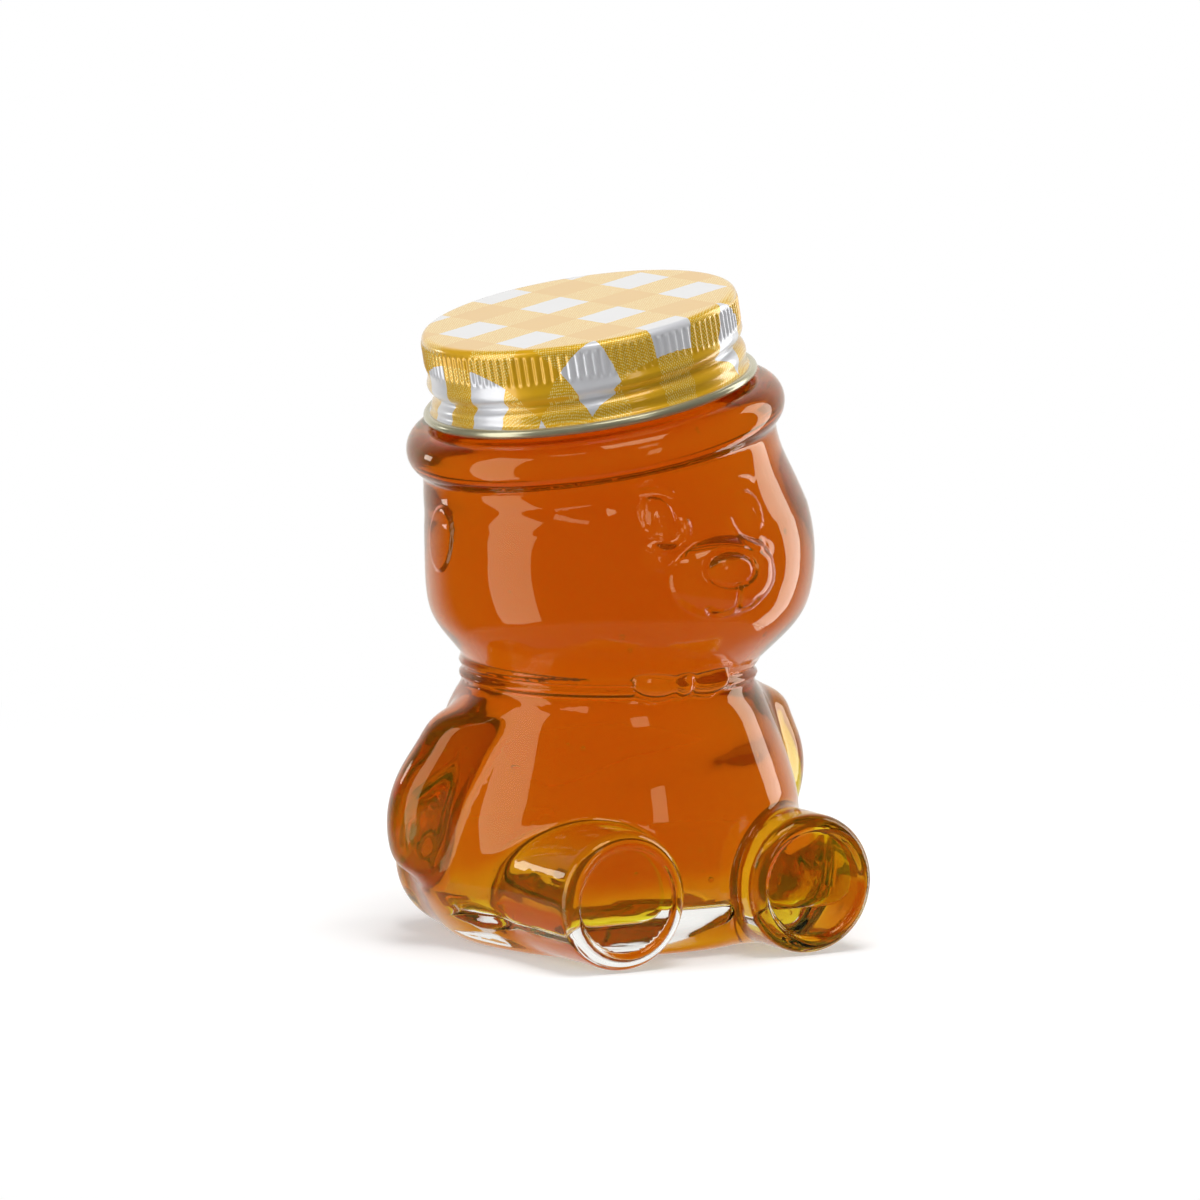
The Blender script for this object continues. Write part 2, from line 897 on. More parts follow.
@dataclass(frozen=True)
class EyeRelief:
    """An eye's raised shapes, from places measured from its middle, in millimetres.

    Attributes:
        disc: Half width, half height and rise of the eyeball's disc.
        disc_edge: Where the disc ends and how softly, as shares of its size.
        disc_slant: How its rise changes upwards and outwards.
        pupil: Half width, half height, drop and rise of the pupil.
        arc_drop: How far the middle of brow and lid lies below the eye's.
        brow: Distance, half width and rise of the brow.
        brow_turn: Degrees where it starts and ends, and over which it fades.
        lid: The same as brow for the lower lid.
        lid_turn: The same as brow_turn for the lower lid.
        cheek: Half width, half height, drop and share of the cheek.
        cheek_slant: The cheek's rise in its middle and how it changes outwards.
    """

    disc: tuple[float, float, float] = (3.4, 4.0, 0.8)
    disc_edge: tuple[float, float] = (1.05, 0.12)
    disc_slant: tuple[float, float] = (0.17, 0.1)
    pupil: tuple[float, float, float, float] = (1.3, 1.7, 0.5, 0.6)
    arc_drop: float = 0.4
    brow: tuple[float, float, float] = (6.6, 0.6, 0.8)
    brow_turn: tuple[float, float, float] = (40.0, 125.0, 15.0)
    lid: tuple[float, float, float] = (5.4, 0.75, 1.15)
    lid_turn: tuple[float, float, float] = (-120.0, 10.0, 20.0)
    cheek: tuple[float, float, float, float] = (4.0, 2.8, 7.4, 1.0)
    cheek_slant: tuple[float, float] = (0.8, 0.26)

    def blob(self, dx: np.ndarray, dz: np.ndarray, size: tuple[float, float, float, float]) -> np.ndarray:
        """A flat-topped oval form of one of the sizes above."""
        wide, tall, drop, high = size
        return high * np.exp(-((dx / wide) ** 2 + ((dz + drop) / tall) ** 2) ** 2)

    def arc(
        self, dx: np.ndarray, dz: np.ndarray, side: int,
        shape: tuple[float, float, float], turn: tuple[float, float, float],
    ) -> np.ndarray:
        """A curved ridge round the eye.

        Args:
            dx: Sideways distances from the eye's middle.
            dz: Upward distances from it.
            side: -1 on the bear's right, 1 on its left.
            shape: The ridge's distance, half width and rise.
            turn: Where it starts and ends, and over what it fades, in degrees.

        Returns:
            The heights.
        """
        away = np.hypot(dx, dz + self.arc_drop)
        angle = np.degrees(np.arctan2(dz + self.arc_drop, dx * -side))
        at, half, high = shape
        start, end, soft = turn
        ridge = np.exp(-((away - at) / half) ** 2)
        return high * (ridge * step((angle - start) / soft) * step((end - angle) / soft))

    def heights(self, dx: np.ndarray, dz: np.ndarray, side: int) -> np.ndarray:
        """How far the eye, its pupil, brow, lid and cheek stand out.

        Args:
            dx: Sideways distances from the eye's middle.
            dz: Upward distances from it.
            side: -1 on the bear's right, 1 on its left.

        Returns:
            The heights.
        """
        wide, tall, high = self.disc
        limit, soft = self.disc_edge
        upward, outward = self.disc_slant
        disc = step((limit - np.hypot(dx / wide, dz / tall)) / soft)
        relief = (high + upward * dz + outward * side * dx) * disc + self.blob(dx, dz, self.pupil)
        relief = relief + self.arc(dx, dz, side, self.brow, self.brow_turn)
        relief = relief + self.arc(dx, dz, side, self.lid, self.lid_turn)
        middle, outward = self.cheek_slant
        return relief + (middle + outward * side * dx) * self.blob(dx, dz, self.cheek)


@dataclass
class BearForm:
    """The bear's shape as distance fields: the outside of the glass and the space inside it.

    In the calls, x runs sideways, f forward from the body's axis and z up, in millimetres. The
    fields that end in space say where a form is worked out at all: heights, distances from the
    middle plane and distances forward, beyond which it has no part in the shape.

    Attributes:
        hat: The leaning axis.
        belly: Radius over height.
        belly_trim: How much the belly lies inside that line, and over what height this comes in.
        belly_top: Where the belly ends inside the head.
        collar: Radius, lower end and upper end of the collar.
        ridges: Height and pitch of the collar's two ridges.
        nape: How much the collar narrows, from what height and over what height.
        head_rows: Height, radius, step forward and lean of the head's circles, as shares.
        arm_rows: Height, reach and radius of the arm's circles, as shares.
        arm_angles: Degrees from the front at the arm's lower and upper end.
        dish: Radius, place and edge of the hollow in the sole.
        ear_size: Half width and half height of the ear.
        bow: Height of the bow, then its half height.
        wing: Sideways and forward place, half width and half depth of the bow's side.
        knot: Forward place, half width and half depth of the bow's middle.
        band: Radius, lower and upper end of the hat band, along the leaning axis.
        lip: Radius, place and thickness of the ring under the brim.
        brim: Radius, place and half thickness of the rolled brim.
        neck_foot: Where the neck starts in the hat.
        thread: Pitch, turns, start as a share of a turn, and the start's distance below the lid's top.
        thread_rib: Height, half width and flank of the thread's rib.
        muzzle: Forward and upward place of the muzzle, then its three radii.
        nose: The same for the nose.
        nose_line: Half width, half height and depth of the pressed line round the nose.
        nose_line_half: Half width of that line's bed.
        eye: Sideways and upward place of the eyes.
        eye_relief: The shapes of an eye.
        eye_shares: Side of each eye, and how much of its relief it has.
        mouth_lines: Sideways and upward places along the mouth's lines.
        mouth_press: Depth and half width of those lines.
        front: How far forward the bear's front starts, for eyes and bow.
        muzzle_from: The same for the muzzle, and nose_from for the nose.
        recess: Radius and depth of the hollow under the base.
        muzzle_back: How far the space in the muzzle lies back from its middle.
        trim: How much thinner the arm is than the solid one, so that it stays inside it.
        lift: How high the glass's lowest point stands over the ground.
        outer: The valleys of the outside.
        inner: The valleys of the space inside.
        ear_valleys: Widths of the ear's soft edge and of the valley round it.
        bow_valleys: Widths of the valleys round the bow's sides and its middle.
        hat_valleys: Widths of the valleys at the lip, at the brim and at the neck's foot.
        hollow_valleys: Widths of the valley inside the muzzle and of the hollow's lower edge.
        rim_edge: Width of the rim's soft edge.
    """

    hat: HatAxis = field(default_factory=HatAxis)
    belly: Curve = Curve(
        (-4.0, 0.0, 6.7, 19.1, 27.35, 35.1, 43.35, 49.3, 51.6, 54.0),
        (29.6, 31.6, 36.7, 38.52, 38.2, 36.4, 33.4, 30.6, 29.3, 29.2),
    )
    belly_trim: tuple[float, float] = (0.15, 8.0)
    belly_top: float = 72.0
    collar: tuple[float, float, float] = (29.2, 51.6, 57.0)
    ridges: tuple[float, float] = (0.7, 2.7)
    nape: tuple[float, float, float] = (1.6, 56.5, 3.0)
    head_z: float = 55.4
    head_top: float = 98.22
    head_r: float = 39.0
    head_forward: float = 4.6
    head_rows: tuple[tuple[float, float, float, float], ...] = (
        (0.0, 0.735, 0.30, 0.0),
        (0.095, 0.828, 0.52, 0.0),
        (0.208, 0.931, 0.70, 0.0),
        (0.353, 0.987, 0.91, 0.0),
        (0.528, 1.0, 1.0, 0.05),
        (0.764, 0.973, 0.6, 0.2),
        (0.895, 0.929, 0.22, 0.6),
        (1.0, 0.8897, 0.0, 1.0),
    )
    arm_top: float = 50.4
    arm_low: float = 10.6
    arm_out: float = 36.9
    arm_r: float = 10.0
    arm_rows: tuple[tuple[float, float, float], ...] = (
        (0.22, 0.9, 0.45),
        (0.3, 0.945, 0.84),
        (0.4, 0.985, 0.97),
        (0.51, 1.0, 1.0),
        (0.635, 0.984, 1.0),
        (0.73, 0.935, 1.0),
        (0.83, 0.867, 0.97),
        (0.93, 0.78, 0.88),
        (1.0, 0.72, 0.42),
    )
    arm_angles: tuple[float, float] = (109.0, 88.0)
    leg_x: float = 21.5
    leg_z: float = 14.2
    leg_r: float = 14.0
    leg_back: float = -20.0
    leg_front: float = 45.2
    dish: tuple[float, float, float] = (10.6, 44.5, 0.3)
    ear_z: float = 82.5
    ear_rise: float = 0.45
    ear_size: tuple[float, float] = (5.5, 6.5)
    bow: tuple[float, float] = (54.7, 3.3)
    wing: tuple[float, float, float, float] = (5.5, 29.3, 5.5, 2.0)
    knot: tuple[float, float, float] = (30.0, 2.1, 2.0)
    band: tuple[float, float, float] = (34.7, 6.6, 14.0)
    lip: tuple[float, float, float] = (32.5, 10.5, 2.35)
    brim: tuple[float, float, float] = (33.3, 16.8, 4.9)
    neck_foot: float = 10.0
    rim_s: float = 39.1
    neck_r: float = 29.9
    bore_r: float = 26.0
    thread: tuple[float, float, float, float] = (5.08, 1.25, 60 / 360, 13.17)
    thread_rib: tuple[float, float, float] = (1.3, 1.4, 0.7)
    muzzle: tuple[float, float, float, float, float] = (40.8, 77.3, 12.5, 7.2, 8.25)
    nose: tuple[float, float, float, float, float] = (46.0, 79.4, 5.0, 2.58, 3.0)
    nose_line: tuple[float, float, float] = (5.3, 3.4, 0.6)
    nose_line_half: float = 0.6
    eye: tuple[float, float] = (10.3, 89.3)
    eye_relief: EyeRelief = EyeRelief()
    eye_shares: tuple[tuple[int, float], ...] = ((-1, 1.0), (1, 0.35))
    mouth_lines: tuple[tuple[tuple[float, float], ...], ...] = (
        ((2.6, 76.4), (2.9, 73.9), (3.1, 71.9)),
        ((3.1, 71.9), (1.9, 70.5), (0.2, 70.0), (-1.6, 70.4), (-3.0, 71.5)),
        ((3.1, 71.9), (4.2, 70.7), (5.6, 70.5), (7.2, 71.2), (8.3, 72.6)),
    )
    mouth_press: tuple[float, float] = (0.6, 0.55)
    front: float = 20.0
    muzzle_from: float = 30.0
    nose_from: float = 38.0
    recess: tuple[float, float] = (24.0, 1.2)
    wall: float = 2.8
    arm_wall: float = 3.4
    leg_wall: float = 3.2
    muzzle_back: float = 0.4
    base: float = 9.0
    trim: float = 0.12
    lift: float = 0.02
    outer: Valleys = Valleys(foot=2.5, collar=1.4, brim=2.2, arm=4.0, leg=2.5, sole=3.0)
    inner: Valleys = Valleys(foot=5.0, collar=3.0, brim=2.5, arm=6.0, leg=3.0, sole=4.0)
    belly_space: float = 78.0
    head_space: tuple[float, float] = (46.0, 112.0)
    hat_space: float = 80.0
    face_space: tuple[float, float, float] = (58.0, 104.0, 26.0)
    muzzle_space: tuple[float, float] = (25.0, 16.0)
    ear_space: tuple[float, float] = (28.0, 12.0)
    arm_space: tuple[float, float] = (16.0, 58.0)
    leg_space: tuple[float, float] = (36.0, -40.0)
    bow_space: float = 8.0
    ear_valleys: tuple[float, float] = (0.7, 0.4)
    bow_valleys: tuple[float, float] = (1.2, 0.8)
    hat_valleys: tuple[float, float, float] = (1.2, 2.0, 2.6)
    hollow_valleys: tuple[float, float] = (2.0, 4.0)
    rim_edge: float = 1.6
    dish_edge: float = 1.2
    recess_edge: float = 0.8
    arm_edge: float = 5.0
    head_edge: float = 1.0

    def __post_init__(self) -> None:
        """Reads the rows into smooth lines."""
        rows = np.array(self.head_rows)
        at = tuple(self.head_z + (self.head_top - self.head_z) * rows[:, 0])
        self.head_radius = Curve(at, tuple(self.head_r * rows[:, 1]))
        self.head_step = Curve(at, tuple(self.head_forward * rows[:, 2]))
        self.head_lean = Curve(at, tuple(radians(self.hat.tilt) * rows[:, 3]))
        arm = np.array(self.arm_rows)
        up = tuple(self.arm_top * arm[:, 0])
        self.arm_reach = Curve(up, tuple(self.arm_out * arm[:, 1]))
        self.arm_radius = Curve(up, tuple(self.arm_r * arm[:, 2]))

    def face_x(self, z: float) -> float:
        """The middle of the tilted face at a height."""
        return (self.hat.pivot_z - z) * tan(radians(self.hat.tilt))

    def add_belly(
        self, x: np.ndarray, f: np.ndarray, z: np.ndarray, inset: float, low: float, edge: float
    ) -> np.ndarray:
        """Belly and collar.

        Args:
            x: Sideways distances.
            f: Distances forward of the body's axis.
            z: Heights.
            inset: How much thinner it is all round.
            low: Height of its underside.
            edge: Width of its soft lower edge.

        Returns:
            The field, negative inside.
        """
        collar_r, start, end = self.collar
        trim, over = self.belly_trim
        high, pitch = self.ridges
        narrow, narrow_z, narrow_over = self.nape
        radius, slope = self.belly(z) - trim * step((start - z) / over), self.belly.slope(z)
        ridge = high * np.sin((z - start) / pitch * pi) ** 2 if inset == 0 else 0.0
        collar = collar_r + ridge * ((z > start) & (z < end)) - narrow * step((z - narrow_z) / narrow_over)
        radius = np.where(z > start, collar, radius)
        side = (np.hypot(x, f) - radius) / np.sqrt(1 + np.where(z < start, slope, 0) ** 2) + inset
        return smooth_max(np.maximum(side, z - self.belly_top), low - z, edge)

    def add_head(self, x: np.ndarray, f: np.ndarray, z: np.ndarray, inset: float) -> np.ndarray:
        """The head, level circles that come to lean with the hat.

        Args:
            x: Sideways distances.
            f: Distances forward of the body's axis.
            z: Heights.
            inset: How much thinner it is all round.

        Returns:
            The field, negative inside.
        """
        level, slant = z, tan(radians(self.hat.tilt))
        for _ in range(4):
            axis_x = -np.maximum(level - self.hat.pivot_z, 0) * slant
            level = z - (x - axis_x) * np.tan(self.head_lean(level))
        lean = self.head_lean(level)
        axis_x = -np.maximum(level - self.hat.pivot_z, 0) * slant
        across = np.hypot((x - axis_x) / np.cos(lean), f - self.head_step(level))
        side = (across - self.head_radius(level)) / np.sqrt(1 + self.head_radius.slope(level) ** 2) + inset
        return np.maximum(smooth_max(side, self.head_z - level, self.head_edge), level - self.head_top - 3.0)

    def add_leg(
        self, x: np.ndarray, f: np.ndarray, z: np.ndarray, radius: float, front: float, edge: float
    ) -> np.ndarray:
        """One leg: a round hip, a straight barrel and a rounded sole.

        Args:
            x: Sideways distances from the leg's axis.
            f: Distances forward of the body's axis.
            z: Heights.
            radius: The leg's radius.
            front: Where its sole is.
            edge: Radius of the sole's rim.

        Returns:
            The field, negative inside.
        """
        across = np.hypot(x, z - self.leg_z)
        barrel = rounded_bar(across, f, radius, front, edge)
        hip = np.hypot(across, f - self.leg_back) - radius
        return np.where(f < self.leg_back, hip, barrel)

    def add_arm(self, x: np.ndarray, f: np.ndarray, z: np.ndarray, inset: float) -> np.ndarray:
        """One arm, level circles that hang outwards and lean back, on the +X side.

        Args:
            x: Sideways distances.
            f: Distances forward of the body's axis.
            z: Heights.
            inset: How much thinner it is all round.

        Returns:
            The field, negative inside.
        """
        low, high = self.arm_angles
        angle = np.radians(low + (high - low) * np.clip(z / self.arm_top, 0, 1))
        reach = self.arm_reach(z)
        side = np.hypot(x - reach * np.sin(angle), f - reach * np.cos(angle)) - self.arm_radius(z)
        side = side / np.sqrt(1 + self.arm_radius.slope(z) ** 2) + inset
        ends = np.maximum(z - self.arm_top - 0.6, self.arm_low - z) + inset
        return smooth_max(side, ends, self.arm_edge)

    def add_hat(
        self, along: np.ndarray, across: np.ndarray, inset: float, neck: np.ndarray | float
    ) -> np.ndarray:
        """Hat band, rolled brim and neck.

        Args:
            along: Distances up the leaning axis.
            across: Distances from it.
            inset: How much thinner it is all round.
            neck: Radius of the neck or the bore.

        Returns:
            The field, negative inside.
        """
        band_r, band_low, band_high = self.band
        band = np.maximum(across - band_r + inset, np.maximum(along - band_high, band_low - along))
        lip_r, lip_s, lip_thick = self.lip
        lip = np.hypot(across - lip_r, along - lip_s) - lip_thick + inset
        brim_r, brim_s, brim_half = self.brim
        out, up = across - brim_r, np.abs(along - brim_s)
        slab = np.hypot(np.maximum(out, 0), up) - brim_half + inset
        brim = np.where(out > 0, slab, up - brim_half + inset)
        at_lip, at_brim, at_neck = self.hat_valleys
        hat = smooth_min(smooth_min(band, lip, at_lip), brim, at_brim)
        top = self.rim_s if inset == 0 else self.rim_s + 6
        tube = np.maximum(across - neck, self.neck_foot - along) * (0.85 if inset == 0 else 1.0)
        return smooth_min(hat, smooth_max(tube, along - top, self.rim_edge), at_neck)

    def threaded(self, x: np.ndarray, f: np.ndarray, z: np.ndarray, along: np.ndarray) -> np.ndarray:
        """Radius of the neck with its screw thread.

        Args:
            x: Sideways distances.
            f: Distances forward of the body's axis.
            z: Heights.
            along: Distances up the leaning axis.

        Returns:
            The radius at each point.
        """
        pitch, length, start, drop = self.thread
        high, half, flank = self.thread_rib
        turn = np.arctan2(-f, self.hat.across(x, z)) / (2 * pi)
        rise = np.zeros_like(along)
        for lap in range(-1, 3):
            turns = turn + start + lap
            gap = np.abs(along - (self.hat.lid_top - drop + pitch * turns))
            ends = step(turns / 0.05) * step((length - turns) / 0.05)
            rise = np.maximum(rise, np.clip((half - gap) / flank, 0, 1) * ends)
        return self.neck_r + high * rise

    def add_face(self, x: np.ndarray, f: np.ndarray, z: np.ndarray, body: np.ndarray) -> np.ndarray:
        """Muzzle, nose, eyes, brows and mouth, added to the head.

        Args:
            x: Sideways distances.
            f: Distances forward of the body's axis.
            z: Heights.
            body: The field so far.

        Returns:
            The field with the face.
        """
        out, up, *radii = self.muzzle
        body = smooth_min(body, ellipsoid(x - self.face_x(up), f - out, z - up, *radii), 0.5)
        out, up, *radii = self.nose
        nose_x = x - self.face_x(up)
        body = body + np.where(f > self.nose_from, self.groove(nose_x, z - up, *self.nose_line), 0)
        body = smooth_min(body, ellipsoid(nose_x, f - out, z - up, *radii), 0.2)
        apart, eye_z = self.eye
        for side, share in self.eye_shares:
            relief = self.eye_relief.heights(x - side * apart - self.face_x(eye_z), z - eye_z, side)
            body = body - np.where(f > self.front, share * relief, 0)
        return body - np.where(f > self.muzzle_from, self.mouth(x, z), 0)

    def groove(self, x: np.ndarray, z: np.ndarray, wide: float, tall: float, depth: float) -> np.ndarray:
        """Depth of a pressed oval line, from places measured from its middle."""
        away = (np.hypot(x / wide, z / tall) - 1) * (wide + tall) / 2
        return depth * np.exp(-((away / self.nose_line_half) ** 2))

    def mouth(self, x: np.ndarray, z: np.ndarray) -> np.ndarray:
        """Height of the mouth's pressed lines, below zero, on the front of the muzzle.

        Args:
            x: Sideways distances.
            z: Heights.

        Returns:
            The heights.
        """
        near = np.full_like(x, 9.0)
        for line in self.mouth_lines:
            for (ax, az), (bx, bz) in zip(line, line[1:]):
                dx, dz = bx - ax, bz - az
                share = np.clip(((x - ax) * dx + (z - az) * dz) / (dx * dx + dz * dz), 0, 1)
                near = np.minimum(near, np.hypot(x - ax - share * dx, z - az - share * dz))
        depth, half = self.mouth_press
        return -depth * np.exp(-((near / half) ** 2))

    def outside(self, x: np.ndarray, y: np.ndarray, z: np.ndarray) -> np.ndarray:
        """The outside of the glass.

        Args:
            x: The frame's X.
            y: The frame's Y.
            z: The frame's Z.

        Returns:
            The field, negative inside.
        """
        f = self.hat.body_y - y
        form = self.core(x, f, z, 0.0, 0.0, self.outer)
        wide = np.abs(x)
        form = smooth_min(form, self.near_arm(wide, f, z, self.trim), self.outer.arm)
        ear_out, ear_up = self.ear_size
        ear_edge, ear_valley = self.ear_valleys
        near = (wide > self.ear_space[0]) & (abs(z - self.ear_z) < self.ear_space[1])
        rim = (np.hypot((f + 0.15) / ear_out, (z - self.ear_z) / ear_up) - 1) * ear_out
        ear = smooth_max(form - self.ear_rise, rim, ear_edge)
        form = np.where(near, smooth_min(form, ear, ear_valley), form)
        bow_z, bow_half = self.bow
        bow = (f > self.front) & (abs(z - bow_z) < self.bow_space)
        wing_x, wing_f, *wing = self.wing
        knot_f, *knot = self.knot
        places = ((wide, wing_x, wing_f, wing), (x, 0.0, knot_f, knot))
        for (at, u, v, size), soft in zip(places, self.bow_valleys):
            part = only_where(
                bow, lambda *p: ellipsoid(p[0] - u, p[1] - v, p[2] - bow_z, *size, bow_half), at, f, z
            )
            form = smooth_min(form, part, soft)
        near = (z < self.leg_space[0]) & (f > self.leg_space[1])
        form = smooth_min(form, only_where(near, self.foot, wide, f, z), self.outer.leg)
        low, high, side = self.face_space
        face = (f > self.front) & (z > low) & (z < high) & (wide < side)
        form[face] = self.add_face(x[face], f[face], z[face], form[face])
        recess_r, recess_high = self.recess
        recess = np.maximum(np.hypot(x, f) - recess_r + z, z - recess_high)
        return np.maximum(smooth_max(form, -recess, self.recess_edge), self.lift - z)

    def near_arm(self, wide: np.ndarray, f: np.ndarray, z: np.ndarray, inset: float) -> np.ndarray:
        """Both arms, worked out near them alone, from distances to the bear's middle plane."""
        near = (wide > self.arm_space[0]) & (z < self.arm_space[1])
        return only_where(near, lambda *p: self.add_arm(*p, inset), wide, f, z)

    def foot(self, x: np.ndarray, f: np.ndarray, z: np.ndarray) -> np.ndarray:
        """One leg with the dish in its sole, on the +X side.

        Args:
            x: Sideways distances.
            f: Distances forward of the body's axis.
            z: Heights.

        Returns:
            The field, negative inside.
        """
        leg = self.add_leg(x - self.leg_x, f, z, self.leg_r, self.leg_front, self.outer.sole)
        dish_r, dish_f, dish_edge = self.dish
        dish = rounded_bar(np.hypot(x - self.leg_x, z - self.leg_z), -f, dish_r, -dish_f, dish_edge)
        return smooth_max(leg, -dish, self.dish_edge)

    def core(
        self, x: np.ndarray, f: np.ndarray, z: np.ndarray, inset: float, low: float, valleys: Valleys
    ) -> np.ndarray:
        """Belly, head and hat in one.

        Args:
            x: Sideways distances.
            f: Distances forward of the body's axis.
            z: Heights.
            inset: How much thinner all of it is.
            low: Height of its underside.
            valleys: Widths of the soft valleys.

        Returns:
            The field, negative inside.
        """
        from_z, to_z = self.head_space
        edge = valleys.foot
        form = only_where(z < self.belly_space, lambda *p: self.add_belly(*p, inset, low, edge), x, f, z)
        head = only_where((z > from_z) & (z < to_z), lambda *p: self.add_head(*p, inset), x, f, z)
        hat = only_where(z > self.hat_space, lambda *p: self.whole_hat(*p, inset), x, f, z)
        return smooth_min(smooth_min(form, head, valleys.collar), hat, valleys.brim)

    def whole_hat(self, x: np.ndarray, f: np.ndarray, z: np.ndarray, inset: float) -> np.ndarray:
        """The hat with its threaded neck, or the space inside it.

        Args:
            x: Sideways distances.
            f: Distances forward of the body's axis.
            z: Heights.
            inset: How much thinner the hat is, or 0 for its outside.

        Returns:
            The field, negative inside.
        """
        along = self.hat.along(x, z)
        across = np.hypot(self.hat.across(x, z), f)
        return self.add_hat(along, across, inset, self.bore_r if inset else self.threaded(x, f, z, along))

    def inside(self, x: np.ndarray, y: np.ndarray, z: np.ndarray) -> np.ndarray:
        """The space inside the glass.

        Args:
            x: The frame's X.
            y: The frame's Y.
            z: The frame's Z.

        Returns:
            The field, negative inside.
        """
        f = self.hat.body_y - y
        wide = np.abs(x)
        form = self.core(x, f, z, self.wall, self.base, self.inner)
        form = smooth_min(form, self.near_arm(wide, f, z, self.arm_wall), self.inner.arm)
        radius, front = self.leg_r - self.leg_wall, self.leg_front - self.leg_wall
        leg = only_where(
            (z < self.leg_space[0]) & (f > self.leg_space[1]),
            lambda u, v, w: self.add_leg(u - self.leg_x, v, w, radius, front, self.inner.sole), wide, f, z,
        )
        form = smooth_min(form, leg, self.inner.leg)
        out, up, *radii = self.muzzle
        inner, muzzle_x = [r - self.wall for r in radii], self.face_x(up)
        muzzle = only_where(
            (f > self.muzzle_space[0]) & (abs(z - up) < self.muzzle_space[1]),
            lambda u, v, w: ellipsoid(u - muzzle_x, v - out + self.muzzle_back, w - up, *inner), x, f, z,
        )
        muzzle_valley, base_edge = self.hollow_valleys
        return smooth_max(smooth_min(form, muzzle, muzzle_valley), self.base - z, base_edge)


